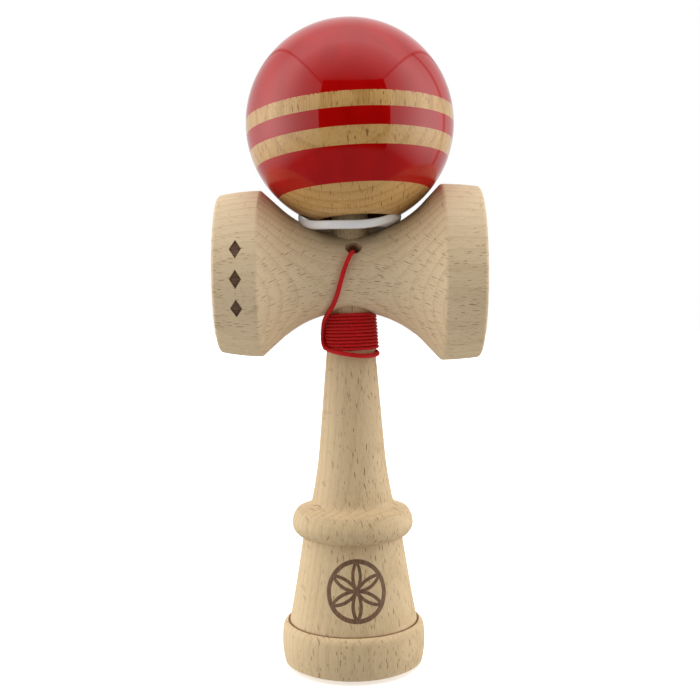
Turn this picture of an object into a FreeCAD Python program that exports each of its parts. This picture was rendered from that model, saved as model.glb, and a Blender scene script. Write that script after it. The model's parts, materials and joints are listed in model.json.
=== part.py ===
import FreeCAD, Part
import math
import os
import Sketcher

# Kendama (wooden cup-and-ball toy) standing on its base cup, in millimetres.
# The origin is the middle of the base rim, +Z points up the handle and +X towards
# the larger cup.  The handle (ken) carries the cross piece (sarado); the ball (tama)
# sits over the spike on a soft ring and is tied to the handle by a thin string.

SIZES = {
    # handle: base cup and its band
    "base_cup_radius": 15.2, "base_cup_depth": 5.8,
    "base_rim_radius": 16.3, "rim_curve": 16.0, "base_edge": 1.6, "base_band_low": 20.4,
    "band_curve": 26.0, "band_top_radius": 20.9, "band_top": 11.6,
    "shoulder_curve": 2.4, "shoulder_radius": 19.5, "shoulder_top": 13.5,
    "score_depth": 0.6, "score_width": 0.5, "cone_low_radius": 18.85, "cone_low": 13.7,
    "cone_curve": 600.0, "cone_high_radius": 14.63, "cone_high": 38.8,
    # handle: collar, grip, neck and spike
    "collar_radius": 17.87, "collar_middle": 42.8, "collar_under_curve": 4.1,
    "collar_over_curve": 6.1, "collar_edge_radius": 16.7, "collar_edge": 46.3,
    "collar_round": 1.2, "collar_top_radius": 15.7, "collar_top": 47.0,
    "collar_foot_radius": 13.2, "collar_foot": 48.1, "grip_fillet": 2.3,
    "grip_low_radius": 11.9, "grip_low": 49.8, "grip_curve": 115.0,
    "grip_mid_radius": 9.7, "grip_mid": 64.0, "neck_low_radius": 7.3, "neck_low": 92.0,
    "neck_radius": 6.35, "neck": 104.5, "spike_low_radius": 5.5, "spike_low": 128.0,
    "spike_mid_radius": 4.35, "spike_mid": 150.0, "spike_curve": 38.0,
    "tip_radius": 1.3, "tip_low": 164.5, "tip_top": 165.5,
    # cross piece, measured from its own middle along X
    "cross_height": 116.1, "throat_radius": 11.2, "flank_curve": 29.6,
    "flank_end": 20.5, "flank_end_radius": 19.45,
    "small_corner": 25.6, "small_corner_radius": 24.1, "small_band_curve": 60.0,
    "small_band_end": 36.9, "small_band_end_radius": 22.9, "small_rim": 38.0,
    "small_rim_radius": 21.7, "small_cup_radius": 20.2, "small_cup_depth": 9.3,
    "big_corner": 26.3, "big_corner_radius": 25.6, "big_band_curve": 90.0,
    "big_band_end": 36.5, "big_band_end_radius": 24.9, "big_rim": 37.6,
    "big_rim_radius": 23.8, "big_cup_radius": 22.0, "big_cup_depth": 10.3,
    "corner_round": 0.45, "corner_curve": 1.25,
    "rim_round": 1.2,
    # string holes in the cross piece and the handle
    "cord_hole_radius": 2.35, "cord_hole_angle": 42.0, "cord_hole_mouth": 0.2,
    "cord_hole_shift": 1.0, "knot_recess_radius": 2.3, "knot_recess_end": 1.2, "bore_reach": 14.0,
    # three engraved lozenges on the small cup
    "mark_offset": 31.3, "mark_half_height": 2.5, "mark_half_width": 1.6,
    "mark_depth": 0.4, "mark_band_radius": 23.6, "mark_middle_angle": 2.9, "mark_step_angle": 20.0,
    # ball
    "ball_radius": 30.0, "ball_height": 159.0, "ball_shift": 0.26,
    "ball_lean_left": 3.0, "ball_lean_back": 6.2,
    "mouth_radius": 11.3, "mouth_sink": 0.7, "hole_radius": 10.6, "hole_roof": 18.0,
    "top_hole_radius": 1.6, "top_hole_mouth": 2.4,
    # bead and knots that tie the string
    "bead_radius": 4.6, "bead_length": 4.8, "bead_hole_radius": 0.9, "bead_round": 1.6,
    "bead_gap": 0.15, "knot_radius": 1.9, "handle_knot_radius": 2.2,
    "handle_knot_reach": 2.7,
    # soft ring between the ball and the cross piece
    "ring_radius": 14.75, "ring_hole_radius": 10.8, "ring_under": 128.6, "ring_over": 129.9,
    "ring_under_curve": 40.5, "ring_over_curve": 66.0,
    # string
    "string_diameter": 1.3, "winding_low": 93.3, "winding_high": 103.5,
}

TOLERANCE = 1e-4
# Arcs whose centre lies on an axis of the sketch, so that they turn into spheres.
ON_H_AXIS, ON_V_AXIS = -1, -2
# How far a cutting tool runs on past the surface it cuts.
OVERCUT = 3.0


def number(term):
    """Length of a term such as 'small_rim - small_cup_depth', read from the sheet."""
    total, sign = 0.0, 1
    for word in str(term).split():
        if word in "+-":
            sign = 1 if word == "+" else -1
        else:
            total += sign * (float(sheet.get(word)) if word in SIZES else float(word))
    return total


def formula(term):
    """The same term written for setExpression."""
    return " ".join("Sizes." + w if w in SIZES else w for w in str(term).split())


def make_sheet(document):
    made = document.addObject("Spreadsheet::Sheet", "Sizes")
    for row, (alias, value) in enumerate(SIZES.items(), 1):
        made.set("A%d" % row, alias)
        made.set("B%d" % row, str(value))
        made.setAlias("B%d" % row, alias)
    document.recompute()
    return made


def make_body(label):
    body = doc.addObject("PartDesign::Body", label)
    body.Label = label
    return body


def add_sketch(body, role, name):
    """A sketch on one of the body's own origin planes."""
    sketch = body.newObject("Sketcher::SketchObject", name)
    plane = [item for item in body.Origin.OriginFeatures if item.Role == role][0]
    sketch.AttachmentSupport = [(plane, "")]
    sketch.MapMode = "FlatFace"
    return sketch


def arc_between(start, end, radius):
    """Arc from start to end; a positive radius bulges to the right of the way."""
    chord = end - start
    half = chord.Length / 2
    sagitta = abs(radius) - math.sqrt(radius * radius - half * half)
    side = FreeCAD.Vector(chord.y, -chord.x, 0).normalize()
    middle = (start + end) / 2 + side * math.copysign(sagitta, radius)
    return Part.Arc(start, middle, end)


def pin_point(sketch, geometry, point, place):
    """Hold one corner of an outline at the two terms of its place."""
    for kind, axis, term in (("DistanceX", -2, place[0]), ("DistanceY", -1, place[1])):
        if abs(number(term)) < TOLERANCE:
            sketch.addConstraint(Sketcher.Constraint("PointOnObject", geometry, point, axis))
            continue
        rule = Sketcher.Constraint(kind, -1, 1, geometry, point, number(term))
        index = sketch.addConstraint(rule)
        sketch.setExpression("Constraints[%d]" % index, formula(term))


def arc_radius(start, end, bend):
    """Radius of an arc: its own term, or what puts its centre on an axis."""
    if bend not in (ON_H_AXIS, ON_V_AXIS):
        return number(bend)
    step, total = end - start, end.dot(end) - start.dot(start)
    if bend == ON_H_AXIS:
        return (start - FreeCAD.Vector(total / (2 * step.x), 0, 0)).Length
    return (start - FreeCAD.Vector(0, total / (2 * step.y), 0)).Length


def hold_bend(sketch, geometry, bend):
    """Fix an arc by its radius, or by its centre where that lies on an axis."""
    if bend in (ON_H_AXIS, ON_V_AXIS):
        sketch.addConstraint(Sketcher.Constraint("PointOnObject", geometry, 3, bend))
        return
    index = sketch.addConstraint(Sketcher.Constraint("Radius", geometry, number(bend)))
    sketch.setExpression("Constraints[%d]" % index, formula(bend))


def draw_outline(sketch, corners):
    """Closed outline. A corner is (x, y) or (x, y, bend, side): the bend is the radius
    term of the arc that leaves it, or the axis that holds its centre."""
    places = [FreeCAD.Vector(number(c[0]), number(c[1]), 0) for c in corners]
    starts, ends = [], []
    for index, corner in enumerate(corners):
        start, end = places[index], places[(index + 1) % len(places)]
        if len(corner) == 2:
            geometry = sketch.addGeometry(Part.LineSegment(start, end), False)
            starts.append((geometry, 1))
            ends.append((geometry, 2))
            continue
        arc = arc_between(start, end, corner[3] * arc_radius(start, end, corner[2]))
        geometry = sketch.addGeometry(arc, False)
        first = sketch.getPoint(geometry, 1)
        forward = (first - start).Length < (first - end).Length
        starts.append((geometry, 1 if forward else 2))
        ends.append((geometry, 2 if forward else 1))
        hold_bend(sketch, geometry, corner[2])
    for index, corner in enumerate(corners):
        joint = ends[index - 1] + starts[index]
        sketch.addConstraint(Sketcher.Constraint("Coincident", *joint))
        pin_point(sketch, *starts[index], corner)


def revolve(body, sketch, axis, kind="Revolution"):
    feature = body.newObject("PartDesign::" + kind, sketch.Name + "_" + kind.lower())
    feature.Profile = sketch
    feature.ReferenceAxis = (sketch, [axis])
    feature.Angle = 360
    doc.recompute()
    return feature


def cut_checked(body, make_cut):
    """Run one cutting step and insist that it takes material away."""
    before = body.Shape.Volume
    make_cut()
    doc.recompute()
    if body.Shape.Volume > before - TOLERANCE:
        raise RuntimeError(body.Label + ": a cut removed nothing")


def drill(body, name, corners):
    """Round hole beside the YZ plane along the string hole's slanting line."""
    sketch = add_sketch(body, "YZ_Plane", name)
    sketch.setExpression(".AttachmentOffset.Base.z", "Sizes.cord_hole_shift")
    places = [FreeCAD.Vector(u, v, 0) for u, v in corners]
    for start, end in zip(places, places[1:] + places[:1]):
        sketch.addGeometry(Part.LineSegment(start, end), False)
    sketch.addGeometry(Part.LineSegment(places[0], places[-1]), True)
    cut_checked(body, lambda: revolve(body, sketch, "Axis0", "Groove"))


def slanted(along, across, height):
    """Point of the YZ plane: along the string hole's line and across it."""
    turn = math.radians(number("cord_hole_angle"))
    return (-along * math.cos(turn) - across * math.sin(turn),
            height + along * math.sin(turn) - across * math.cos(turn))


def make_ken():
    body = make_body("ken")
    sketch = add_sketch(body, "XZ_Plane", "ken_outline")
    draw_outline(sketch, [
        ("0", "base_cup_depth", ON_V_AXIS, -1),
        ("base_cup_radius", "0"),
        ("base_rim_radius", "0", "rim_curve", 1),
        ("base_band_low", "base_edge", "band_curve", 1),
        ("band_top_radius", "band_top", "shoulder_curve", 1),
        ("shoulder_radius", "shoulder_top"),
        ("shoulder_radius - score_depth", "shoulder_top - score_width"),
        ("cone_low_radius", "cone_low", "cone_curve", -1),
        ("cone_high_radius", "cone_high", "collar_under_curve", 1),
        ("collar_radius", "collar_middle", "collar_over_curve", 1),
        ("collar_edge_radius", "collar_edge", "collar_round", 1),
        ("collar_top_radius", "collar_top"),
        ("collar_foot_radius", "collar_foot", "grip_fillet", -1),
        ("grip_low_radius", "grip_low", "grip_curve", -1),
        ("grip_mid_radius", "grip_mid"),
        ("neck_low_radius", "neck_low"),
        ("neck_radius", "neck"),
        ("spike_low_radius", "spike_low"),
        ("spike_mid_radius", "spike_mid", "spike_curve", 1),
        ("tip_radius", "tip_low", ON_V_AXIS, 1),
        ("0", "tip_top"),
    ])
    revolve(body, sketch, "V_Axis")
    height = number("cross_height")
    inner, outer = -number("knot_recess_end"), number("throat_radius")
    radius = number("knot_recess_radius")
    drill(body, "knot_recess", [slanted(inner, 0, height), slanted(inner, radius, height),
                                slanted(outer, radius, height), slanted(outer, 0, height)])
    return body


def make_sarado():
    body = make_body("sarado")
    sketch = add_sketch(body, "XZ_Plane", "sarado_outline")
    draw_outline(sketch, [
        ("small_cup_depth - small_rim", "0", ON_H_AXIS, 1),
        ("0 - small_rim", "small_cup_radius"),
        ("0 - small_rim", "small_rim_radius", "rim_round", -1),
        ("0 - small_band_end", "small_band_end_radius", "small_band_curve", -1),
        ("0 - small_corner - corner_round", "small_corner_radius", "corner_curve", -1),
        ("0 - small_corner + corner_round", "small_corner_radius - corner_round"),
        ("0 - flank_end", "flank_end_radius", "flank_curve", 1),
        ("flank_end", "flank_end_radius"),
        ("big_corner - corner_round", "big_corner_radius - corner_round",
         "corner_curve", -1),
        ("big_corner + corner_round", "big_corner_radius", "big_band_curve", -1),
        ("big_band_end", "big_band_end_radius", "rim_round", -1),
        ("big_rim", "big_rim_radius"),
        ("big_rim", "big_cup_radius", ON_H_AXIS, 1),
        ("big_rim - big_cup_depth", "0"),
    ])
    revolve(body, sketch, "H_Axis")
    add_bore(body)
    reach, mouth = number("throat_radius"), number("cord_hole_mouth")
    radius = number("cord_hole_radius")
    drill(body, "string_hole", [
        slanted(0, 0, 0), slanted(0, radius, 0), slanted(reach - 2 * mouth, radius, 0),
        slanted(reach + mouth, radius + mouth, 0),
        slanted(reach + OVERCUT, radius + mouth, 0), slanted(reach + OVERCUT, 0, 0)])
    for step in (-1, 0, 1):
        add_lozenge(body, step)
    body.Placement.Base = FreeCAD.Vector(0, 0, number("cross_height"))
    return body


def add_bore(body):
    """Tapered bore that the handle's neck is pressed into, on the neck's own cone."""
    sketch = add_sketch(body, "XZ_Plane", "neck_bore")
    fall = number("neck_radius") - number("spike_low_radius")
    slope = fall / (number("spike_low") - number("neck"))
    low = number("cross_height") - number("neck")
    reach = number("bore_reach")
    wide = number("neck_radius") + (reach - low) * slope
    narrow = number("neck_radius") - (reach + low) * slope
    corners = [(0, -reach), (wide, -reach), (narrow, reach), (0, reach)]
    places = [FreeCAD.Vector(u, v, 0) for u, v in corners]
    for start, end in zip(places, places[1:] + places[:1]):
        sketch.addGeometry(Part.LineSegment(start, end), False)
    cut_checked(body, lambda: revolve(body, sketch, "V_Axis", "Groove"))


def add_lozenge(body, step):
    """One shallow engraved lozenge, turned about the cross piece's axis."""
    sketch = add_sketch(body, "XZ_Plane", "lozenge_%d" % (step + 2))
    turn = FreeCAD.Rotation(FreeCAD.Vector(1, 0, 0),
                            number("mark_middle_angle") + step * number("mark_step_angle"))
    stand_off = FreeCAD.Vector(0, 0, number("big_corner_radius"))
    sketch.AttachmentOffset = FreeCAD.Placement(turn.multVec(stand_off), turn)
    draw_outline(sketch, [
        ("0 - mark_offset - mark_half_width", "0"),
        ("0 - mark_offset", "0 - mark_half_height"),
        ("0 - mark_offset + mark_half_width", "0"),
        ("0 - mark_offset", "mark_half_height"),
    ])

    def cut():
        pocket = body.newObject("PartDesign::Pocket", sketch.Name + "_pocket")
        pocket.Profile = sketch
        pocket.setExpression("Length", formula("big_corner_radius - mark_band_radius + mark_depth"))
    cut_checked(body, cut)


def ball_axis():
    left = math.tan(math.radians(number("ball_lean_left")))
    back = math.tan(math.radians(number("ball_lean_back")))
    return FreeCAD.Vector(-left, back, 1).normalize()


def ball_centre():
    return FreeCAD.Vector(number("ball_shift"), 0, number("ball_height"))


def lean_placement():
    """Frame of the ball: its centre, with Z along the leaning string hole."""
    turn = FreeCAD.Rotation(FreeCAD.Vector(0, 0, 1), ball_axis())
    return FreeCAD.Placement(ball_centre(), turn)


def rim_drop(radius):
    """Height of a circle of the ball's surface above or below its middle."""
    return math.sqrt(number("ball_radius") ** 2 - radius ** 2)


def make_tama():
    body = make_body("tama")
    sketch = add_sketch(body, "XZ_Plane", "tama_outline")
    mouth, top = rim_drop(number("mouth_radius")), rim_drop(number("top_hole_mouth"))
    draw_outline(sketch, [
        ("hole_radius", "mouth_sink - %.6f" % mouth),
        ("mouth_radius", "0 - %.6f" % mouth, ON_V_AXIS, 1),
        ("ball_radius", "0", ON_V_AXIS, 1),
        ("top_hole_mouth", "%.6f" % top),
        ("top_hole_radius", "%.6f - 1" % top),
        ("top_hole_radius", "hole_roof"),
        ("hole_radius", "hole_roof"),
    ])
    revolve(body, sketch, "V_Axis")
    body.Placement = lean_placement()
    return body


def make_bead():
    body = make_body("string_bead")
    sketch = add_sketch(body, "XZ_Plane", "bead_outline")
    top, low = "hole_roof - bead_gap", "hole_roof - bead_gap - bead_length"
    draw_outline(sketch, [
        ("bead_hole_radius", low),
        ("bead_radius - bead_round", low, "bead_round", 1),
        ("bead_radius", low + " + bead_round"),
        ("bead_radius", top + " - bead_round", "bead_round", 1),
        ("bead_radius - bead_round", top),
        ("bead_hole_radius", top),
    ])
    revolve(body, sketch, "V_Axis")
    body.Placement = lean_placement()
    return body


def make_ball_of(label, radius_name, centre):
    """Closed ball that stands for a tight overhand knot."""
    knot = doc.addObject("Part::Sphere", label)
    knot.Label = label
    knot.setExpression("Radius", formula(radius_name))
    knot.Placement.Base = centre
    return knot


def make_ring():
    """Soft flat ring, bent over the saddle of the cross piece."""
    body = make_body("spacer_ring")
    sketch = add_sketch(body, "XZ_Plane", "ring_band")
    rise = {side: sag("ring_%s_curve" % side) for side in ("under", "over")}
    edge = {side: "ring_%s + %.6f" % (side, rise[side]) for side in rise}
    draw_outline(sketch, [
        ("0 - ring_radius - 1", edge["under"], "ring_under_curve", 1),
        ("ring_radius + 1", edge["under"]),
        ("ring_radius + 1", edge["over"], "ring_over_curve", -1),
        ("0 - ring_radius - 1", edge["over"]),
    ])
    pad = body.newObject("PartDesign::Pad", "ring_pad")
    pad.Profile = sketch
    pad.SideType = "Symmetric"
    pad.setExpression("Length", "4 * Sizes.ring_radius")
    doc.recompute()
    add_ring_cut(body, "ring_hole", ["ring_hole_radius"])
    add_ring_cut(body, "ring_trim", ["ring_radius", "3 * ring_radius"])
    return body


def sag(curve_name):
    """Rise of the ring's curved face from its middle to just past its edge."""
    radius, reach = number(curve_name), number("ring_radius") + 1
    return radius - math.sqrt(radius * radius - reach * reach)


def add_ring_cut(body, name, radii):
    sketch = add_sketch(body, "XY_Plane", name)
    for text in radii:
        times, word = text.split(" * ") if " * " in text else ("1", text)
        circle = Part.Circle(FreeCAD.Vector(0, 0, 0), FreeCAD.Vector(0, 0, 1),
                             float(times) * number(word))
        geometry = sketch.addGeometry(circle, False)
        sketch.addConstraint(Sketcher.Constraint("Coincident", geometry, 3, -1, 1))
        rule = Sketcher.Constraint("Radius", geometry, float(times) * number(word))
        index = sketch.addConstraint(rule)
        sketch.setExpression("Constraints[%d]" % index, times + " * Sizes." + word)

    def cut():
        pocket = body.newObject("PartDesign::Pocket", name + "_pocket")
        pocket.Profile = sketch
        pocket.Type = "ThroughAll"
        pocket.SideType = "Symmetric"
    cut_checked(body, cut)


def neck_radius_at(height):
    share = (height - number("neck_low")) / (number("neck") - number("neck_low"))
    return (1 - share) * number("neck_low_radius") + share * number("neck_radius")


def make_winding():
    """The wound turns of string as one closed sleeve on the neck's cone."""
    body = make_body("string_winding")
    sketch = add_sketch(body, "XZ_Plane", "winding_outline")
    low, high = (neck_radius_at(number(n)) for n in ("winding_low", "winding_high"))
    draw_outline(sketch, [
        ("%.6f" % low, "winding_low"),
        ("%.6f + string_diameter" % low, "winding_low"),
        ("%.6f + string_diameter" % high, "winding_high"),
        ("%.6f" % high, "winding_high"),
    ])
    revolve(body, sketch, "V_Axis")
    return body


# Routes of the string's free stretches, as corners of straight runs.
LEAD_ROUTE = [(0.9, -3.8, 119.3), (0.9, -7.4, 121.9), (0.6, -10.4, 122.6),
              (-0.6, -12.1, 120.2), (-1.8, -12.1, 117.1), (-2.7, -12.2, 113.9),
              (-3.6, -11.0, 110.5), (-4.9, -9.0, 107.0), (-6.5, -6.6, 104.6),
              (-7.8, -3.9, 102.1), (-8.2, -2.4, 98.9), (-8.4, -2.5, 95.9),
              (-7.6, -4.6, 94.1), (-4.6, -7.6, 93.4), (-0.6, -8.9, 92.7),
              (3.4, -8.2, 92.3), (6.8, -5.6, 92.3), (8.3, -1.7, 92.7),
              (7.8, 2.4, 93.8)]
RISER_ROUTE = [(5.9, 6.2, 102.5), (2.9, 8.7, 103.9), (0.9, 11.0, 107.4),
               (-0.2, 13.0, 111.9), (-0.8, 13.6, 117.5), (-0.6, 16.2, 124.6),
               (-0.9, 20.2, 132.6), (-1.6, 25.6, 141.5), (-1.5, 30.6, 150.4),
               (-1.6, 32.3, 159.2)]
TOP_ROUTE = [(-1.6, 32.4, 159.6), (-2.1, 31.4, 168.2), (-2.0, 26.9, 176.2),
             (-2.2, 20.6, 183.1), (-1.9, 13.9, 187.8), (-1.8, 9.0, 189.8),
             (-1.6, 6.1, 190.8)]
STRING_DEPTHS = (31.2, 28.4, 23.0, 16.0, 11.6)


def top_route():
    """Over the back of the ball, then down its string hole to the knot."""
    points = [FreeCAD.Vector(*point) for point in TOP_ROUTE]
    return points + [ball_centre() + ball_axis() * depth for depth in STRING_DEPTHS]


def rounded_wire(points, label):
    """Straight runs joined by tangent arcs that are as large as the runs allow."""
    edges, here, radii = [], points[0], []
    for before, corner, after in zip(points, points[1:], points[2:]):
        back, ahead = before - corner, after - corner
        half_turn = (math.pi - back.getAngle(ahead)) / 2
        if half_turn < 0.001:
            continue
        trim = 0.45 * min(back.Length, ahead.Length)
        radii.append(trim / math.tan(half_turn))
        start = corner + back.normalize() * trim
        end = corner + ahead.normalize() * trim
        bisector = ((start + end) / 2 - corner).normalize()
        middle = corner + bisector * (radii[-1] / math.cos(half_turn) - radii[-1])
        edges.append(Part.LineSegment(here, start).toShape())
        edges.append(Part.Arc(start, middle, end).toShape())
        here = end
    edges.append(Part.LineSegment(here, points[-1]).toShape())
    print(label, "radii", [round(radius, 1) for radius in radii])
    return Part.Wire(edges)


def make_tube(label, points):
    """Round string along a route of straight runs and tangent arcs."""
    wire = rounded_wire(points, label)
    radius = number("string_diameter") / 2
    direction = points[1] - points[0]
    ring = Part.Wire([Part.Circle(points[0], direction, radius).toShape()])
    tube = wire.makePipeShell([ring], True, False)
    if isinstance(tube, Part.Compound) or tube.ShapeType != "Solid":
        tube = Part.Solid(Part.Shell(tube.Faces))
    expected = math.pi * radius * radius * wire.Length
    print(label, "length %.1f volume %.1f expected %.1f" % (wire.Length, tube.Volume, expected))
    item = doc.addObject("Part::Feature", label)
    item.Label = label
    item.Shape = tube
    item.Placement = FreeCAD.Placement()
    return item


def make_handle_knot():
    turn = math.radians(number("cord_hole_angle"))
    reach = number("handle_knot_reach")
    centre = FreeCAD.Vector(number("cord_hole_shift"), -reach * math.cos(turn),
                            number("cross_height") + reach * math.sin(turn))
    return make_ball_of("ken_knot", "handle_knot_radius", centre)


def make_bead_knot():
    depth = number("hole_roof - bead_gap - bead_length - knot_radius")
    return make_ball_of("bead_knot", "knot_radius", ball_centre() + ball_axis() * depth)


def check(item):
    if "Invalid" in item.State or "Error" in item.State:
        raise RuntimeError(item.Label + " failed to compute")


def write_parts(items):
    for item in doc.Objects:
        check(item)
    os.makedirs("parts", exist_ok=True)
    for item in items:
        shape = item.Shape
        if shape.isNull() or not shape.isValid() or shape.Volume < TOLERANCE:
            raise RuntimeError(item.Label + " has no valid solid")
        shape.exportStep("parts/%s.step" % item.Label)
        print("%-15s %9.1f mm3" % (item.Label, shape.Volume), shape.BoundBox)


doc = FreeCAD.newDocument("kendama")
sheet = make_sheet(doc)
parts = [
    make_ken(), make_sarado(), make_ring(), make_winding(), make_handle_knot(),
    make_tube("string_lead", [FreeCAD.Vector(*point) for point in LEAD_ROUTE]),
    make_tube("string_riser", [FreeCAD.Vector(*point) for point in RISER_ROUTE]),
    make_tube("string_top", top_route()), make_bead(), make_bead_knot(), make_tama(),
]
doc.recompute()
write_parts(parts)
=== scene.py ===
import json
import math

import bpy
from mathutils import Matrix, Vector, noise


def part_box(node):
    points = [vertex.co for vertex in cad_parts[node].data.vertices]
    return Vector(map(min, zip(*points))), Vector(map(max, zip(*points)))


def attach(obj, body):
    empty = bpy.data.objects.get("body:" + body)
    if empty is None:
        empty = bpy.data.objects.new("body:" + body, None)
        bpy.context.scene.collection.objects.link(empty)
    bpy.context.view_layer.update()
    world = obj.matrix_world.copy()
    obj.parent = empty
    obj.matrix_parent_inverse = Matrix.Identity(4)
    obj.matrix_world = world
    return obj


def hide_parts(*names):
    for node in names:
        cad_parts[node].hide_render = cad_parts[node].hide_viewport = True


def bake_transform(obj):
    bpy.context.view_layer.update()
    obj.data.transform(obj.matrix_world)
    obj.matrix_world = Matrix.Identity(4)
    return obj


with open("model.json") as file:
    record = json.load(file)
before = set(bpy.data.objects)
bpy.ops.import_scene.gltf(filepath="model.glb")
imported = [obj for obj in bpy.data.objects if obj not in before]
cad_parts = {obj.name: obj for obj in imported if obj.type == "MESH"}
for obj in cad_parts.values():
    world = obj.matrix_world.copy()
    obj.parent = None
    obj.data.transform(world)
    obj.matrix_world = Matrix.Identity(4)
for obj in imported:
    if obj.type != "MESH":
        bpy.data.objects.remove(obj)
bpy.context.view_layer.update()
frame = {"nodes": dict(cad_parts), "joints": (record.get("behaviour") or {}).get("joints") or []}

# A kendama on a pale table: raw beech handle and cross piece, a lacquered red ball with
# bare stripes on a soft white ring, and a thin red braided string.  All sizes in metres.

MM = 0.001

# Camera: where the eye is, how far it looks down, its roll and its lens.
CAMERA_PLACE = (-0.0003, -0.3279, 0.1182)
CAMERA_DOWN = 4.29
CAMERA_ROLL = -0.55
CAMERA_LENS = 57.6

# String
STRING_DIAMETER = 1.3 * MM
STRING_STEP = 0.19 * MM
STRING_SIDES = 16
BRAID_STRANDS = 4
BRAID_PITCH = 1.25 * MM
BRAID_DEPTH = 0.07
FLAT_ON_NECK = 0.76
WINDING_PITCH = 0.98 * MM
WINDING_LOW, WINDING_START = 93.75 * MM, 16.0
WINDING_TURNS = 11
POINTS_PER_TURN = 12
CONTROL_SPREAD = 0.966
WINDING_WANDER, WANDER_RATE = 0.10 * MM, 1.7
SUNK_IN = 0.40
# The string is pressed flat within this of the neck's surface, above this height.
PRESSED_WITHIN, PRESSED_FADE, PRESSED_ABOVE = 0.85 * MM, 0.25 * MM, 93.3 * MM
NECK_LOW, NECK_LOW_RADIUS = 92.0 * MM, 7.3 * MM
NECK_HIGH, NECK_HIGH_RADIUS = 104.5 * MM, 6.35 * MM

# Cross piece: the curve of its flanks and the radius of its throat.
FLANK_CURVE = 29.6 * MM
THROAT_RADIUS = 11.2 * MM

# The string's route, in millimetres: out of its hole, down the left of the winding and
# under it; then from the winding up behind the ball, and over the ball into its top hole.
LEAD_ROUTE = [(0.9, -3.8, 119.3), (0.9, -7.4, 121.8), (0.6, -10.3, 122.4),
              (-0.6, -11.9, 120.2), (-1.8, -12.0, 117.1), (-2.7, -12.1, 113.9),
              (-3.6, -10.9, 110.5), (-4.9, -8.9, 107.1), (-6.3, -6.4, 104.9),
              (-7.7, -3.9, 102.7), (-8.1, -2.4, 99.2), (-8.2, -2.5, 96.2),
              (-7.5, -4.5, 94.4), (-4.6, -7.4, 93.6), (-0.6, -8.7, 92.9),
              (3.4, -8.0, 92.4), (6.8, -5.4, 92.4), (8.2, -1.6, 92.8)]
RISER_ROUTE = [(4.3, 6.6, 104.4), (2.6, 8.6, 105.2), (1.2, 10.9, 107.6),
               (-0.1, 12.8, 111.9), (-0.8, 13.4, 117.5), (-0.6, 15.9, 124.6),
               (-0.9, 20.1, 132.6), (-1.6, 25.5, 141.5), (-1.5, 30.2, 150.4),
               (-1.6, 32.0, 159.4)]
TOP_ROUTE = [(-1.6, 32.0, 159.4), (-2.1, 31.2, 168.2), (-2.0, 26.9, 176.2),
             (-2.2, 20.6, 183.1), (-1.9, 13.9, 187.6), (-1.8, 8.8, 189.5),
             (-1.6, 6.1, 190.3)]
STRING_DEPTHS = (30.9, 28.4, 23.0, 16.0, 11.6)


def joint_of(name):
    return [joint for joint in frame["joints"] if joint["name"] == name][0]


BALL_CENTRE = Vector(joint_of("ball_spin")["pos_m"])
BALL_AXIS = Vector(joint_of("ball_spin")["axis"]).normalized()
BALL_RADIUS = (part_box("tama")[1].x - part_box("tama")[0].x) / 2
CROSS_LOW, CROSS_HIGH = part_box("sarado")
CROSS_HEIGHT = (CROSS_LOW.z + CROSS_HIGH.z) / 2


# ---------------------------------------------------------------- camera

def add_camera():
    data = bpy.data.cameras.new("camera")
    data.lens = CAMERA_LENS
    data.sensor_width = 36
    camera = bpy.data.objects.new("camera", data)
    turn = Matrix.Rotation(math.radians(90 - CAMERA_DOWN), 4, "X")
    roll = Matrix.Rotation(math.radians(CAMERA_ROLL), 4, "Z")
    camera.matrix_world = Matrix.Translation(CAMERA_PLACE) @ turn @ roll
    bpy.context.scene.collection.objects.link(camera)
    bpy.context.scene.camera = camera


# ---------------------------------------------------------------- mesh helpers

def add_mesh(name, points, faces, smooth=True):
    mesh = bpy.data.meshes.new(name)
    mesh.from_pydata([tuple(point) for point in points], [], faces)
    mesh.validate()
    mesh.update()
    for polygon in mesh.polygons:
        polygon.use_smooth = smooth
    piece = bpy.data.objects.new(name, mesh)
    bpy.context.scene.collection.objects.link(piece)
    return piece


def smooth_line(name, points):
    """The smooth line of a limp string on its route's points."""
    curve = bpy.data.curves.new(name, "CURVE")
    curve.dimensions = "3D"
    spline = curve.splines.new("NURBS")
    spline.points.add(len(points) - 1)
    for control, place in zip(spline.points, points):
        control.co = (*place, 1.0)
    spline.order_u = 3
    spline.use_endpoint_u = True
    spline.resolution_u = 10
    carrier = bpy.data.objects.new(name, curve)
    bpy.context.scene.collection.objects.link(carrier)
    mesh = bpy.data.meshes.new_from_object(carrier)
    line = [vertex.co.copy() for vertex in mesh.vertices]
    bpy.data.objects.remove(carrier)
    bpy.data.curves.remove(curve)
    bpy.data.meshes.remove(mesh)
    return evenly_spaced(line, STRING_STEP)


def evenly_spaced(line, step):
    lengths = [0.0]
    for before, after in zip(line, line[1:]):
        lengths.append(lengths[-1] + (after - before).length)
    count = max(2, round(lengths[-1] / step))
    spaced, index = [], 0
    for number in range(count + 1):
        wanted = lengths[-1] * number / count
        while index < len(line) - 2 and lengths[index + 1] < wanted:
            index += 1
        run = lengths[index + 1] - lengths[index]
        share = (wanted - lengths[index]) / run if run > 0 else 0.0
        spaced.append(line[index].lerp(line[index + 1], min(1.0, share)))
    return spaced


def tangents(line):
    ends = [line[1] - line[0]] + [b - a for a, b in zip(line, line[2:])] + [line[-1] - line[-2]]
    return [end.normalized() for end in ends]


def carried_frames(line):
    """A side direction at each point, carried along the line without twist."""
    along = tangents(line)
    side = along[0].orthogonal().normalized()
    frames = []
    for tangent in along:
        side = (side - tangent * side.dot(tangent)).normalized()
        frames.append((side, tangent.cross(side)))
    return frames


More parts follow.
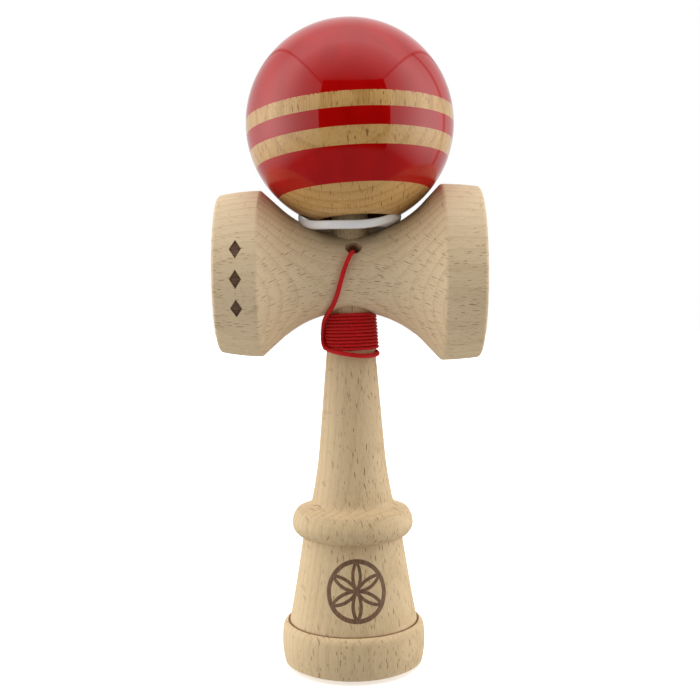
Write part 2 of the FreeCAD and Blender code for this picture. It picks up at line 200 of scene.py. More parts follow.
def braided_tube(name, line, flatness=None):
    """Braided string along a line.  flatness gives, for a point, how much the string is
    pressed flat against the neck, from 0 to 1."""
    points, faces = [], []
    frames = carried_frames(line)
    for row, (place, (side, other)) in enumerate(zip(line, frames)):
        travel = 2 * math.pi * row * STRING_STEP / BRAID_PITCH
        press = flatness(place) if flatness else 0.0
        for column in range(STRING_SIDES):
            angle = 2 * math.pi * column / STRING_SIDES
            weave = math.cos(BRAID_STRANDS * angle + travel) * math.cos(
                BRAID_STRANDS * angle - travel)
            radius = STRING_DIAMETER / 2 * (1 + BRAID_DEPTH * (weave - 0.5))
            offset = (side * math.cos(angle) + other * math.sin(angle)) * radius
            offset.z *= 1 - press * (1 - FLAT_ON_NECK)
            points.append(place + offset)
    for row in range(len(line) - 1):
        for column in range(STRING_SIDES):
            here, after = row * STRING_SIDES, (column + 1) % STRING_SIDES
            faces.append((here + column, here + after, here + STRING_SIDES + after,
                          here + STRING_SIDES + column))
    last = (len(line) - 1) * STRING_SIDES
    faces.append(tuple(reversed(range(STRING_SIDES))))
    faces.append(tuple(range(last, last + STRING_SIDES)))
    return add_mesh(name, points, faces)


def in_metres(route):
    return [Vector(point) * MM for point in route]


# ---------------------------------------------------------------- string

def neck_radius(height):
    share = (height - NECK_LOW) / (NECK_HIGH - NECK_LOW)
    return NECK_LOW_RADIUS + share * (NECK_HIGH_RADIUS - NECK_LOW_RADIUS)


def throat_underside(place):
    """Height of the cross piece's lower surface above a point by the neck."""
    reach = THROAT_RADIUS + FLANK_CURVE - math.sqrt(FLANK_CURVE ** 2 - place.x ** 2)
    return CROSS_HEIGHT - math.sqrt(max(0.0, reach ** 2 - place.y ** 2))


def winding_points():
    """Control points of the close turns, climbing the neck to the cross piece."""
    points = []
    for step in range(1, WINDING_TURNS * POINTS_PER_TURN + 2):
        turn = step / POINTS_PER_TURN
        angle = math.radians(WINDING_START) + 2 * math.pi * turn
        wander = noise.noise(Vector((turn * WANDER_RATE, 0.3, 8.1))) * WINDING_WANDER
        height = WINDING_LOW + WINDING_PITCH * turn + wander
        radius = (neck_radius(height) + SUNK_IN * STRING_DIAMETER) / CONTROL_SPREAD
        place = Vector((radius * math.cos(angle), radius * math.sin(angle), height))
        place.z = min(place.z, throat_underside(place) - 0.5 * STRING_DIAMETER)
        points.append(place)
    return points


def pressed_on_neck(place):
    """Turns that lie on the neck are pressed flat; the free lead is round."""
    out = math.hypot(place.x, place.y) - neck_radius(place.z)
    near = max(0.0, min(1.0, (PRESSED_WITHIN - out) / PRESSED_FADE))
    return near if PRESSED_ABOVE < place.z < NECK_HIGH else 0.0


def add_handle_string():
    line = smooth_line("handle_line", in_metres(LEAD_ROUTE) + winding_points())
    string = braided_tube("handle_string", line, pressed_on_neck)
    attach(string, "handle")
    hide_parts("string_lead", "string_winding")
    return string, line


def add_riser(start):
    """The stretch behind the cross piece and the ball, drawn out as the ball lifts."""
    route = [start] + in_metres(RISER_ROUTE)
    line = smooth_line("riser_line", route)
    string = braided_tube("riser_string", line)
    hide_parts("string_riser")
    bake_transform(string)
    return string, line


def add_top_string():
    """Over the back of the ball and down through its string hole and bead."""
    route = in_metres(TOP_ROUTE)
    route += [BALL_CENTRE + BALL_AXIS * depth * MM for depth in STRING_DEPTHS]
    line = smooth_line("top_line", route)
    string = braided_tube("top_string", line)
    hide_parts("string_top")
    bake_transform(string)
    return string


# ---------------------------------------------------------------- soft ring

RING_OUTER, RING_INNER = 15.0 * MM, 10.3 * MM
RING_UNDER, RING_THICKNESS = 128.6 * MM, 2.4 * MM
RING_STEPS, RING_SECTION = 180, 28
RING_SQUARENESS = 0.35
# How the ring rises towards its two ends: by how much, and how late on the way.
RISE_LEFT, RISE_RIGHT, RISE_BACK = (2.75, 8.0), (3.45, 2.4), (2.75, 8.0)
SAG_BACK = 0.8 * MM
CLEARANCE = 0.08 * MM


def ball_underside(place):
    reach = math.hypot(place.x - BALL_CENTRE.x, place.y - BALL_CENTRE.y)
    return BALL_CENTRE.z - math.sqrt(BALL_RADIUS ** 2 - reach ** 2)


def saddle_top(place):
    reach = THROAT_RADIUS + FLANK_CURVE - math.sqrt(FLANK_CURVE ** 2 - place.x ** 2)
    return CROSS_HEIGHT + math.sqrt(max(0.0, reach ** 2 - place.y ** 2))


def ring_rise(place):
    """Rise of the soft ring above its lowest line, over the saddle of the cross piece."""
    share = min(1.0, max(0.0, 0.5 + place.y / RING_OUTER))
    front = RISE_RIGHT if place.x > 0 else RISE_LEFT
    amount, lateness = ((1 - share) * f + share * b for f, b in zip(front, RISE_BACK))
    rise = amount * MM * min(1.0, abs(place.x) / RING_OUTER) ** lateness
    return rise - SAG_BACK * share ** 2


def add_ring():
    """An even, flat ring that hangs free at the front and back and is pinched between
    ball and saddle at its sides."""
    points, faces = [], []
    for step in range(RING_STEPS):
        angle = 2 * math.pi * step / RING_STEPS
        for part in range(RING_SECTION):
            turn = 2 * math.pi * part / RING_SECTION
            across = math.copysign(abs(math.cos(turn)) ** RING_SQUARENESS, math.cos(turn))
            over = math.copysign(abs(math.sin(turn)) ** RING_SQUARENESS, math.sin(turn))
            radius = (RING_OUTER + RING_INNER) / 2 + across * (RING_OUTER - RING_INNER) / 2
            place = Vector((radius * math.cos(angle), radius * math.sin(angle), 0))
            middle = RING_UNDER + ring_rise(place) + RING_THICKNESS / 2
            place.z = max(middle + over * RING_THICKNESS / 2, saddle_top(place) + CLEARANCE)
            place.z = min(place.z, ball_underside(place) - CLEARANCE)
            points.append(place)
            here, after = step * RING_SECTION, ((step + 1) % RING_STEPS) * RING_SECTION
            other = (part + 1) % RING_SECTION
            faces.append((here + part, after + part, after + other, here + other))
    ring = add_mesh("soft_ring", points, faces)
    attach(ring, "handle")
    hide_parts("spacer_ring")
    return ring


# ---------------------------------------------------------------- materials

class Nodes:
    """A node material that is built with short calls."""

    def __init__(self, name):
        self.material = bpy.data.materials.new(name)
        self.material.use_nodes = True
        self.tree = self.material.node_tree
        self.tree.nodes.clear()
        self.output = self.tree.nodes.new("ShaderNodeOutputMaterial")
        self.shader = self.tree.nodes.new("ShaderNodeBsdfPrincipled")
        self.tree.links.new(self.shader.outputs[0], self.output.inputs[0])

    def feed(self, socket, value):
        if isinstance(value, bpy.types.NodeSocket):
            self.tree.links.new(value, socket)
        elif value is not None:
            socket.default_value = value

    def add(self, kind, *values, **settings):
        node = self.tree.nodes.new("ShaderNode" + kind)
        for name, value in settings.items():
            setattr(node, name, value)
        for socket, value in zip(node.inputs, values):
            self.feed(socket, value)
        return node

    def maths(self, operation, *values, clamp=False):
        return self.add("Math", *values, operation=operation, use_clamp=clamp).outputs[0]

    def vector(self, operation, *values):
        return self.add("VectorMath", *values, operation=operation)

    def place(self):
        """The point on the piece, in the frame's metres."""
        return self.add("TexCoord").outputs["Object"]

    def split(self, vector):
        return self.add("SeparateXYZ", vector).outputs

    def join(self, *values):
        return self.add("CombineXYZ", *values).outputs[0]

    def between(self, value, low, high):
        """0 below low, 1 above high, smooth between."""
        node = self.add("MapRange", interpolation_type="SMOOTHSTEP")
        for name, given in (("Value", value), ("From Min", low), ("From Max", high)):
            self.feed(node.inputs[name], given)
        return node.outputs[0]

    def ramp(self, value, low, high, at_low, at_high):
        """Straight run between two levels, flat outside it."""
        node = self.add("MapRange")
        for socket, given in zip(node.inputs, (value, low, high, at_low, at_high)):
            self.feed(socket, given)
        return node.outputs[0]

    def blend(self, share, first, second):
        """Number between two numbers."""
        step = self.maths("SUBTRACT", second, first)
        return self.maths("MULTIPLY_ADD", step, share, first)

    def grain(self, vector, scale, detail=2.0, rough=0.5):
        node = self.add("TexNoise")
        for name, given in (("Vector", vector), ("Scale", scale), ("Detail", detail),
                            ("Roughness", rough)):
            self.feed(node.inputs[name], given)
        return node.outputs["Fac"]

    def mix(self, share, first, second):
        node = self.add("Mix", data_type="RGBA")
        self.feed(node.inputs["Factor"], share)
        self.feed(node.inputs[6], first)
        self.feed(node.inputs[7], second)
        return node.outputs[2]

    def finish(self, **sockets):
        for name, value in sockets.items():
            self.feed(self.shader.inputs[name.replace("_", " ")], value)
        return self.material


def rgb(red, green, blue):
    return (red, green, blue, 1.0)


# Beech: its body, ring lines and flecks; raw on the handle and the cross piece, and
# varnished on the ball.
HANDLE_BEECH = {"light": rgb(0.72, 0.54, 0.31), "deep": rgb(0.60, 0.43, 0.23),
                "ring": rgb(0.43, 0.25, 0.10), "fleck": rgb(0.25, 0.11, 0.035)}
CROSS_BEECH = {"light": rgb(0.76, 0.59, 0.37), "deep": rgb(0.65, 0.48, 0.28),
               "ring": rgb(0.42, 0.25, 0.11), "fleck": rgb(0.25, 0.115, 0.04)}
VARNISHED = {"light": rgb(0.64, 0.385, 0.145), "deep": rgb(0.43, 0.225, 0.065),
             "ring": rgb(0.30, 0.14, 0.035), "fleck": rgb(0.17, 0.065, 0.015)}
BURNT = rgb(0.19, 0.085, 0.042)
BURNT_DARK = rgb(0.085, 0.034, 0.016)
# A cell of wood holds one fleck: round the rings, along the grain, out from the pith.
BIG_CELL, BIG_FLECK = (1.10, 3.0, 7.5), (0.14, 0.95, 2.9)
SMALL_CELL, SMALL_FLECK = (0.62, 2.0, 5.0), (0.085, 0.60, 2.0)
# Where the pith lies across the grain and how wide the yearly rings are, in millimetres.
HANDLE_PITH, HANDLE_RINGS = (-31.0, 29.0), 2.3
CROSS_PITH, CROSS_RINGS, CROSS_TILT = (-119.0, -53.0), 2.85, 0.045
BALL_PITH, BALL_RINGS = (6.0, 60.0), 2.6
# Within a year's ring: the late wood darkens, ends in a line, and closes at the next.
LATE_WOOD, RING_LINE, RING_CLOSE = (0.35, 0.95), (0.84, 0.94), (0.955, 0.995)
RING_WOBBLE, FLECK_SWAY = 1.6 * MM, 0.7 * MM
FIBRE_ACROSS, FIBRE_ALONG = 0.34 * MM, 11.0 * MM
WOOD_ROUGHNESS, WOOD_BUMP, VARNISH_BUMP = 0.62, 0.05 * MM, 0.015 * MM


def flecks(nodes, place, cell_size, half_size, kept):
    """Spindles where the wood's rays end: 1 in the middle of a fleck."""
    where = nodes.join(*(nodes.maths("DIVIDE", value, size * MM)
                         for value, size in zip(place, cell_size)))
    cell = nodes.add("TexVoronoi", where)
    nodes.feed(cell.inputs["Scale"], 1.0)
    offset = nodes.split(nodes.vector("SUBTRACT", where, cell.outputs["Position"]).outputs[0])
    chance = nodes.split(cell.outputs["Color"])
    length = nodes.maths("MULTIPLY_ADD", chance[0], 1.1, 0.5)
    scaled = [nodes.maths("MULTIPLY", part, size / half)
              for part, size, half in zip(offset, cell_size, half_size)]
    scaled[1] = nodes.maths("DIVIDE", scaled[1], length)
    away = nodes.vector("LENGTH", nodes.join(*scaled)).outputs["Value"]
    shape = nodes.between(away, 1.0, 0.65)
    there = nodes.maths("LESS_THAN", chance[1], kept)
    depth = nodes.maths("MULTIPLY_ADD", chance[2], 0.5, 0.5)
    return nodes.maths("MULTIPLY", nodes.maths("MULTIPLY", shape, there), depth)


def beech(nodes, place, facing, pith, spacing, colours, ring_share, fleck_share, tilt=0.0):
    """Colour and height of beech.  place and facing are across the grain twice, then along
    it; the rings run round the pith, a point across the grain that moves by tilt."""
    across, other, along = place
    slow = nodes.grain(nodes.join(across, other, nodes.maths("MULTIPLY", along, 0.3)), 70.0)
    from_x = nodes.maths("SUBTRACT", across, pith[0] * MM)
    from_y = nodes.maths("SUBTRACT", other, pith[1] * MM)
    reach = nodes.vector("LENGTH", nodes.join(from_x, from_y, 0.0)).outputs["Value"]
    turned = nodes.maths("SUBTRACT", nodes.maths("MULTIPLY", facing[1], from_x),
                         nodes.maths("MULTIPLY", facing[0], from_y))
    radial = nodes.maths("POWER", nodes.maths("ABSOLUTE", nodes.maths(
        "DIVIDE", turned, reach)), 3.0)
    level = nodes.maths("ADD", nodes.maths("MULTIPLY", facing[0], from_x),
                        nodes.maths("MULTIPLY", facing[1], from_y))
    level = nodes.maths("ABSOLUTE", nodes.maths("DIVIDE", level, reach))
    bent = nodes.maths("MULTIPLY_ADD", slow, RING_WOBBLE, reach)
    bent = nodes.maths("MULTIPLY_ADD", along, -tilt, bent)
    phase = nodes.maths("FRACT", nodes.maths("DIVIDE", bent, spacing * MM))
    closing = nodes.maths("SUBTRACT", 1.0, nodes.between(phase, *RING_CLOSE))
    line = nodes.maths("MULTIPLY", nodes.between(phase, *RING_LINE), closing)
    late = nodes.maths("MULTIPLY", nodes.between(phase, *LATE_WOOD), closing)
    round_way = nodes.maths("MULTIPLY", nodes.maths("ARCTAN2", from_y, from_x),
                            math.hypot(*pith) * MM)
    sway = nodes.grain(nodes.join(across, other, along), 260.0, 1.0)
    round_way = nodes.maths("MULTIPLY_ADD", sway, FLECK_SWAY, round_way)
    cells = (round_way, along, bent)
    big = flecks(nodes, cells, BIG_CELL, BIG_FLECK, 0.85)
    small = nodes.maths("MULTIPLY", flecks(nodes, cells, SMALL_CELL, SMALL_FLECK, 0.8), 0.6)
    spots = nodes.maths("MAXIMUM", big, small)
    fade = nodes.maths("MULTIPLY_ADD", radial, -0.75, 1.0)
    spots = nodes.maths("MULTIPLY", spots, fade)
    fibre = nodes.grain(nodes.join(nodes.maths("DIVIDE", across, FIBRE_ACROSS),
                                   nodes.maths("DIVIDE", other, FIBRE_ACROSS),
                                   nodes.maths("DIVIDE", along, FIBRE_ALONG)), 1.0, 3.0)
    body = nodes.maths("ADD", nodes.maths("MULTIPLY", fibre, 0.5),
                       nodes.maths("MULTIPLY", slow, 0.35))
    body = nodes.maths("MULTIPLY_ADD", late, 0.09, body)
    colour = nodes.mix(nodes.between(body, 0.32, 0.66), colours["light"], colours["deep"])
    sharp = nodes.maths("MULTIPLY_ADD", level, -0.9 * ring_share, ring_share)
    end_grain = nodes.maths("MULTIPLY_ADD", nodes.maths("ABSOLUTE", facing[2]), 0.8, 0.2)
    sharp = nodes.maths("MULTIPLY", sharp, end_grain)
    colour = nodes.mix(nodes.maths("MULTIPLY", line, sharp), colour, colours["ring"])
    colour = nodes.mix(nodes.maths("MULTIPLY", spots, fleck_share), colour, colours["fleck"])
    height = nodes.maths("SUBTRACT", nodes.maths("MULTIPLY", fibre, 0.35), spots)
    return colour, height


def bump(nodes, height, distance, strength=1.0):
    node = nodes.add("Bump")
    for name, given in (("Height", height), ("Distance", distance), ("Strength", strength)):
        nodes.feed(node.inputs[name], given)
    return node.outputs[0]


ROSETTE_PLACE = (1.0 * MM, 26.2 * MM)
ROSETTE_CONE, ROSETTE_RADIUS, ROSETTE_LINE = 17.0 * MM, 8.3 * MM, 0.42 * MM
# Painted shade in the scored line at the foot of the cone: its radius and height, and its soft
# half width.
SCORE_PLACE = (19.45 * MM, 13.2 * MM)
SCORE_FADE = (0.7 * MM, 0.1 * MM)
# Lozenges on the small cup: their place along it, the angle of the middle one and the
# step to the next, the radius of the band, and their half sizes.
LOZENGE_OFFSET, LOZENGE_ANGLE, LOZENGE_STEP = 31.3 * MM, math.radians(-2.9), math.radians(20)
LOZENGE_BAND, LOZENGE_OUTSIDE = 23.6 * MM, 22.5 * MM
LOZENGE_HALF_HEIGHT, LOZENGE_HALF_WIDTH = 2.5 * MM, 1.6 * MM
BURN_SHARE, BURN_FINE, BURN_ALONG = 0.92, 2600.0, 260.0


def rosette(nodes, across, up):
    """Burnt six-petalled compass rosette in its circle; 1 on its lines."""
    radius, line = ROSETTE_RADIUS, ROSETTE_LINE
    from_middle = nodes.vector("LENGTH", nodes.join(across, up, 0.0)).outputs["Value"]

    def stroke(distance, width):
        off = nodes.maths("ABSOLUTE", nodes.maths("SUBTRACT", distance, radius))
        return nodes.maths("SUBTRACT", 1.0, nodes.between(off, width, width * 1.35))
    marks = stroke(from_middle, line * 1.35)
    inside = nodes.maths("LESS_THAN", from_middle, radius)
    for petal in range(6):
        turn = math.radians(60 * petal + 30)
        off = nodes.join(nodes.maths("SUBTRACT", across, radius * math.cos(turn)),
                         nodes.maths("SUBTRACT", up, radius * math.sin(turn)), 0.0)
        away = nodes.vector("LENGTH", off).outputs["Value"]
        arc = nodes.maths("MULTIPLY", stroke(away, line), inside)
        marks = nodes.maths("MAXIMUM", marks, arc)
    return marks


def burnt(nodes, along):
    """Colour of a burnt mark, streaked along the grain."""
    streaks = nodes.grain(nodes.vector("MULTIPLY", nodes.place(), along).outputs[0], 1.0, 2.0)
    return nodes.mix(nodes.between(streaks, 0.35, 0.68), BURNT, BURNT_DARK)


def handle_material():
    nodes = Nodes("beech_handle")
    x, y, z = nodes.split(nodes.place())
    facing = nodes.split(nodes.add("TexCoord").outputs["Normal"])
    colour, height = beech(nodes, (x, y, z), facing, HANDLE_PITH, HANDLE_RINGS,
                           HANDLE_BEECH, 0.45, 0.9)
    way = nodes.maths("MULTIPLY", nodes.maths("ARCTAN2", x, nodes.maths("MULTIPLY", y, -1.0)),
                      ROSETTE_CONE)
    marks = rosette(nodes, nodes.maths("SUBTRACT", way, ROSETTE_PLACE[0]),
                    nodes.maths("SUBTRACT", z, ROSETTE_PLACE[1]))
    off_score = nodes.maths("ABSOLUTE", nodes.maths("SUBTRACT", z, SCORE_PLACE[1]))
    painted_score_shade = nodes.maths("MULTIPLY", nodes.between(off_score, *SCORE_FADE),
                        nodes.maths("LESS_THAN", nodes.vector("LENGTH", nodes.join(
                            x, y, 0.0)).outputs["Value"], SCORE_PLACE[0]))
    # Painted shade: the scored groove is darkened towards the fleck colour.
    colour = nodes.mix(nodes.maths("MULTIPLY", painted_score_shade, 0.75), colour, HANDLE_BEECH["fleck"])
    colour = nodes.mix(nodes.maths("MULTIPLY", marks, BURN_SHARE), colour,
                       burnt(nodes, (BURN_FINE, BURN_FINE, BURN_ALONG)))
    height = nodes.maths("SUBTRACT", height, nodes.maths("MULTIPLY", marks, 1.5))
    return nodes.finish(Base_Color=colour, Roughness=WOOD_ROUGHNESS,
                        Normal=bump(nodes, height, WOOD_BUMP))


def cross_material():
    nodes = Nodes("beech_cross_piece")
    x, y, z = nodes.split(nodes.place())
    facing = nodes.split(nodes.add("TexCoord").outputs["Normal"])
    up = nodes.maths("SUBTRACT", z, CROSS_HEIGHT)
    colour, height = beech(nodes, (y, up, x), (facing[1], facing[2], facing[0]),
                           CROSS_PITH, CROSS_RINGS, CROSS_BEECH, 0.6, 0.9, CROSS_TILT)
    marks = lozenges(nodes, x, y, up)
    colour = nodes.mix(marks, colour, burnt(nodes, (BURN_ALONG, BURN_FINE, BURN_FINE)))
    return nodes.finish(Base_Color=colour, Roughness=WOOD_ROUGHNESS,
                        Normal=bump(nodes, height, WOOD_BUMP))


def lozenges(nodes, x, y, up):
    """Share of the burnt colour: the three engraved lozenges on the small cup's outside."""
    angle = nodes.maths("ARCTAN2", up, nodes.maths("MULTIPLY", y, -1.0))
    count = nodes.maths("DIVIDE", nodes.maths("SUBTRACT", angle, LOZENGE_ANGLE), LOZENGE_STEP)
    nearest = nodes.maths("ROUND", count)
    within = nodes.maths("LESS_THAN", nodes.maths("ABSOLUTE", nearest), 1.5)
    off = nodes.maths("MULTIPLY", nodes.maths("SUBTRACT", count, nearest),
                      LOZENGE_STEP * LOZENGE_BAND)
    high = nodes.maths("DIVIDE", nodes.maths("ABSOLUTE", off), LOZENGE_HALF_HEIGHT)
    wide = nodes.maths("ABSOLUTE", nodes.maths("ADD", x, LOZENGE_OFFSET))
    wide = nodes.maths("DIVIDE", wide, LOZENGE_HALF_WIDTH)
    shape = nodes.maths("SUBTRACT", 1.0, nodes.between(nodes.maths("ADD", high, wide),
                                                       1.0, 1.12))
    outside = nodes.maths("GREATER_THAN", nodes.vector("LENGTH", nodes.join(
        y, up, 0.0)).outputs["Value"], LOZENGE_OUTSIDE)
    within = nodes.maths("MULTIPLY", within, outside)
    return nodes.maths("MULTIPLY", nodes.maths("MULTIPLY", shape, within), BURN_SHARE)


# Latitudes of the paint's edges on the ball, in degrees from its equator.
STRIPE_EDGES = ((4.0, -4.1), (-13.5, -23.1))
PAINT_END = -43.5
PAINT_END_BLUR = 0.12
# The paint's ragged bleed into the upper stripe, in degrees, and how fine it is.
BLEED_DEPTH, BLEED_ROUND, BLEED_FINE, BLEED_UP = -4.5, 30.0, 2.6, 0.09
PAINT, PAINT_DEEP = rgb(0.46, 0.003, 0.002), rgb(0.40, 0.002, 0.002)
# Painted shade of the bore: a near black brown that stands in for the deep shadow inside the
# ball, and how far below the ball's surface it starts.
PAINTED_BORE_SHADE, BORE_DEPTH = rgb(0.10, 0.05, 0.025), 0.3 * MM


def ball_frame(nodes):
    """The point in the ball's own frame, with Z along its string hole."""
    turn = BALL_AXIS.rotation_difference(Vector((0, 0, 1))).to_euler()
    mapping = nodes.add("Mapping", vector_type="POINT")
    moved = nodes.vector("SUBTRACT", nodes.place(), tuple(BALL_CENTRE)).outputs[0]
    nodes.feed(mapping.inputs["Vector"], moved)
    mapping.inputs["Rotation"].default_value = turn
    return mapping.outputs[0]


def ball_material():
    nodes = Nodes("lacquered_ball")
    x, y, z = nodes.split(ball_frame(nodes))
    reach = nodes.vector("LENGTH", nodes.join(x, y, z)).outputs["Value"]
    facing = [nodes.maths("DIVIDE", part, reach) for part in (x, y, z)]
    wood, height = beech(nodes, (x, y, z), facing, BALL_PITH, BALL_RINGS, VARNISHED,
                         0.30, 0.8)
    latitude = nodes.maths("DEGREES", nodes.maths("ARCSINE", nodes.maths("DIVIDE", z, reach)))
    round_way = nodes.maths("MULTIPLY", nodes.maths("ARCTAN2", y, x), BLEED_ROUND)
    bleed = nodes.grain(nodes.join(nodes.maths("MULTIPLY", round_way, BLEED_FINE),
                                   nodes.maths("MULTIPLY", latitude, BLEED_UP), 0.0), 1.0, 2.0)
    ragged = nodes.maths("MULTIPLY", nodes.between(bleed, 0.55, 0.85), BLEED_DEPTH)

    def above(level, edge):
        return nodes.between(level, edge - PAINT_END_BLUR, edge + PAINT_END_BLUR)
    bare = None
    for number, (top, low) in enumerate(STRIPE_EDGES):
        edge = nodes.maths("SUBTRACT", latitude, ragged) if number == 0 else latitude
        below = nodes.maths("SUBTRACT", 1.0, above(edge, top))
        stripe = nodes.maths("MULTIPLY", below, above(latitude, low))
        bare = stripe if bare is None else nodes.maths("MAXIMUM", bare, stripe)
    cap = nodes.maths("SUBTRACT", 1.0, above(latitude, PAINT_END))
    inside = nodes.maths("LESS_THAN", reach, BALL_RADIUS - BORE_DEPTH)
    bare = nodes.maths("MAXIMUM", nodes.maths("MAXIMUM", bare, cap), inside)
    cloud = nodes.grain(nodes.join(x, y, nodes.maths("MULTIPLY", z, 0.3)), 160.0)
    paint = nodes.mix(nodes.between(cloud, 0.3, 0.7), PAINT, PAINT_DEEP)
    colour = nodes.mix(bare, paint, wood)
    # Painted shade: the bore inside the ball is coloured near black.
    colour = nodes.mix(inside, colour, PAINTED_BORE_SHADE)
    return nodes.finish(Base_Color=colour, Roughness=0.5, Specular_IOR_Level=0.0,
                        Coat_Weight=1.0, Coat_Roughness=0.03, Coat_IOR=1.47,
                        Normal=bump(nodes, height, VARNISH_BUMP))


def string_material():
    nodes = Nodes("red_string")
    place = nodes.place()
    tone = nodes.grain(place, 2600.0, 2.0)
    colour = nodes.mix(nodes.between(tone, 0.3, 0.7), rgb(0.48, 0.002, 0.003),
                       rgb(0.74, 0.006, 0.008))
    return nodes.finish(Base_Color=colour, Roughness=0.6, Specular_IOR_Level=0.3,
                        Normal=bump(nodes, tone, 0.05 * MM, 0.6))


# Painted shade on the ring's inner wall: how far out from the ring's hole it is fully white, and
# how far it is still fully shaded grey.
WALL_WHITE, WALL_SHADE_GREY = 0.5 * MM, 0.2 * MM


def ring_material():
    nodes = Nodes("soft_white_ring")
    place = nodes.place()
    x, y, _ = nodes.split(place)
    tone = nodes.grain(place, 700.0)
    colour = nodes.mix(tone, rgb(0.93, 0.93, 0.93), rgb(0.88, 0.88, 0.88))
    reach = nodes.vector("LENGTH", nodes.join(x, y, 0.0)).outputs["Value"]
    wall = nodes.between(reach, RING_INNER + WALL_WHITE, RING_INNER + WALL_SHADE_GREY)
    # Painted shade: the ring's inner wall is darkened to grey, standing in for the shadow under
    # the ball.
    colour = nodes.mix(wall, colour, rgb(0.30, 0.28, 0.26))
    return nodes.finish(Base_Color=colour, Roughness=0.42, Subsurface_Weight=0.1,
                        Subsurface_Scale=0.002, Normal=bump(nodes, tone, 0.02 * MM))


def bead_material():
    nodes = Nodes("bead_plastic")
    tone = nodes.grain(nodes.place(), 500.0)
    colour = nodes.mix(tone, rgb(0.70, 0.67, 0.60), rgb(0.62, 0.58, 0.51))
    return nodes.finish(Base_Color=colour, Roughness=0.35,
                        Normal=bump(nodes, tone, 0.01 * MM))


def paint_nodes(material, *names):
    for name in names:
        item = frame["nodes"][name]
        item.data.materials.clear()
        item.data.materials.append(material)


# ---------------------------------------------------------------- floor and light

FLOOR_FRONT, FLOOR_BACK, FLOOR_SIDE = -0.20, 1.6, 1.6
FLOOR_GLOW = 0.45


def add_floor():
    """White table, hidden from diffuse and mirrored rays: it doesn't light the object and isn't
    mirrored in the lacquer.
    """
    corners = [(-FLOOR_SIDE, FLOOR_FRONT, 0), (FLOOR_SIDE, FLOOR_FRONT, 0),
               (FLOOR_SIDE, FLOOR_BACK, 0), (-FLOOR_SIDE, FLOOR_BACK, 0)]
    floor = add_mesh("floor", corners, [(0, 1, 2, 3)], smooth=False)
    floor.visible_glossy = False
    floor.visible_diffuse = False
    nodes = Nodes("pale_floor")
    tone = nodes.grain(nodes.place(), 60.0)
    floor.data.materials.append(nodes.finish(
        Base_Color=nodes.mix(tone, rgb(0.93, 0.93, 0.93), rgb(0.90, 0.90, 0.90)),
        Roughness=0.8, Specular_IOR_Level=0.0, Emission_Color=rgb(1, 1, 1),
        Emission_Strength=FLOOR_GLOW))


# Light tent, in degrees round from the camera's side (negative is left) and above the
# horizon; brightness 1 is the white of the background.
OPENING_LEFT, OPENING_RIGHT, OPENING_TOP = -33.5, 44.0, 40.0
WALL_HEIGHT_LEFT, WALL_HEIGHT_RIGHT = 1.29, 1.18
WALL_MIDDLE, WALL_SPREAD, WALL_LIGHT = 88.0, 30.0, 2.1
BACK_EDGE, BACK_LIGHT = 125.0, 0.85
OVERHEAD, ROOF_END, ROOF_DIM, ROOF_LIGHT, ROOF_FALL = 92.0, 120.0, 0.3, 2.6, -1.3
MIRRORED_DIM = -0.3
TABLE_EDGE, TABLE_LIGHT, TABLE_BOUNCE = -35.0, 0.2, 0.75


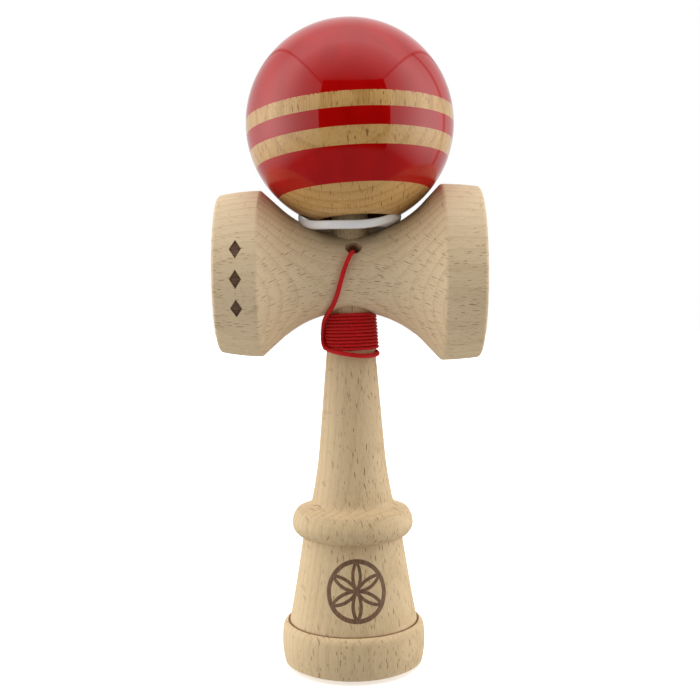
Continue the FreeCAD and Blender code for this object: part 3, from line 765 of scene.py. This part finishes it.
def add_light_tent():
    """White walls left, right and behind and a white roof, with the dark opening that
    the camera looks through; where roof and walls meet is a dim seam."""
    world = bpy.data.worlds.new("light_tent")
    bpy.context.scene.world = world
    world.use_nodes = True
    nodes = Nodes.__new__(Nodes)
    nodes.tree = world.node_tree
    nodes.tree.nodes.clear()
    x, y, z = nodes.split(nodes.add("TexCoord").outputs["Generated"])
    front = nodes.maths("MULTIPLY", y, -1.0)
    round_way = nodes.maths("DEGREES", nodes.maths("ARCTAN2", x, front))
    height = nodes.maths("DEGREES", nodes.maths("ARCSINE", z))
    over = nodes.maths("DEGREES", nodes.maths("ARCTAN2", z, front))

    # walls: brightest beside the object, dimmer towards their edges and their tops
    aside = nodes.maths("SUBTRACT", nodes.maths("ABSOLUTE", round_way), WALL_MIDDLE)
    fall = nodes.maths("POWER", nodes.maths("DIVIDE", aside, WALL_SPREAD), 2.0)
    peak = nodes.maths("EXPONENT", nodes.maths("MULTIPLY", fall, -1.0))
    wall = nodes.maths("MULTIPLY_ADD", peak, WALL_LIGHT, BACK_LIGHT)
    wall = nodes.maths("MULTIPLY", wall, nodes.ramp(height, 0.0, 60.0, 1.0, 0.65))
    wall = nodes.maths("MULTIPLY", wall, nodes.ramp(height, TABLE_EDGE, -5.0, 0.08, 1.0))

    # roof: brightest overhead, dim at its front edge, and dimmer where it is mirrored
    rise = nodes.ramp(over, OPENING_TOP, OVERHEAD, ROOF_DIM, ROOF_LIGHT)
    sink = nodes.ramp(over, OVERHEAD, ROOF_END, 0.0, ROOF_FALL)
    path = nodes.add("LightPath").outputs
    mirrored = nodes.maths("MULTIPLY_ADD", path["Is Glossy Ray"], MIRRORED_DIM, 1.0)
    roof = nodes.maths("MULTIPLY", nodes.maths("ADD", rise, sink), mirrored)

    # which wall a direction meets
    slope_left = nodes.maths("MULTIPLY", x, -WALL_HEIGHT_LEFT)
    slope_right = nodes.maths("MULTIPLY", x, WALL_HEIGHT_RIGHT)
    past_seam = nodes.maths("SUBTRACT", z, nodes.maths("MAXIMUM", slope_left, slope_right))
    in_roof = nodes.between(past_seam, -0.012, 0.012)
    seam = nodes.between(nodes.maths("ABSOLUTE", past_seam), 0.005, 0.04)
    light = nodes.blend(in_roof, wall, roof)
    light = nodes.maths("MULTIPLY", light, nodes.maths("MULTIPLY_ADD", seam, 0.5, 0.5))
    off_edge = nodes.maths("ABSOLUTE", nodes.maths("SUBTRACT", round_way, BACK_EDGE))
    edge = nodes.maths("MAXIMUM", nodes.between(off_edge, 1.0, 5.0), in_roof)
    light = nodes.maths("MULTIPLY", light, nodes.maths("MULTIPLY_ADD", edge, 0.5, 0.5))

    # dark opening towards the camera
    from_left = nodes.between(round_way, OPENING_LEFT - 0.7, OPENING_LEFT + 0.7)
    from_right = nodes.between(round_way, OPENING_RIGHT + 0.7, OPENING_RIGHT - 0.7)
    below = nodes.between(height, OPENING_TOP + 1.0, OPENING_TOP - 1.0)
    opening = nodes.maths("MULTIPLY", nodes.maths("MULTIPLY", from_left, from_right), below)
    light = nodes.maths("MULTIPLY", light, nodes.maths("SUBTRACT", 1.0, opening))
    low = nodes.between(height, TABLE_EDGE + 8.0, TABLE_EDGE)
    light = nodes.maths("MAXIMUM", light, nodes.maths("MULTIPLY", low, TABLE_LIGHT))

    # the white table sends light up on to the wood, but isn't mirrored in the lacquer
    bounce = nodes.maths("MULTIPLY", nodes.between(height, -8.0, -30.0), TABLE_BOUNCE)
    bounce = nodes.maths("MULTIPLY", bounce, path["Is Diffuse Ray"])
    light = nodes.maths("MAXIMUM", light, bounce)

    tent = nodes.add("Background", rgb(1, 1, 1), light)
    plain = nodes.add("Background", rgb(1, 1, 1), 1.0)
    seen = path["Is Camera Ray"]
    shown = nodes.add("MixShader", seen, tent.outputs[0], plain.outputs[0])
    nodes.add("OutputWorld", shown.outputs[0])
    bpy.context.scene.view_settings.view_transform = "Standard"


# ---------------------------------------------------------------- build

def build():
    add_camera()
    handle_string, winding_line = add_handle_string()
    riser, riser_line = add_riser(winding_line[-1])
    top_string = add_top_string()
    ring = add_ring()
    red, white = string_material(), ring_material()
    for piece in (handle_string, riser, top_string):
        piece.data.materials.append(red)
    ring.data.materials.append(white)
    paint_nodes(red, "ken_knot", "bead_knot")
    paint_nodes(handle_material(), "ken")
    paint_nodes(cross_material(), "sarado")
    paint_nodes(ball_material(), "tama")
    paint_nodes(bead_material(), "string_bead")
    add_floor()
    add_light_tent()


build()
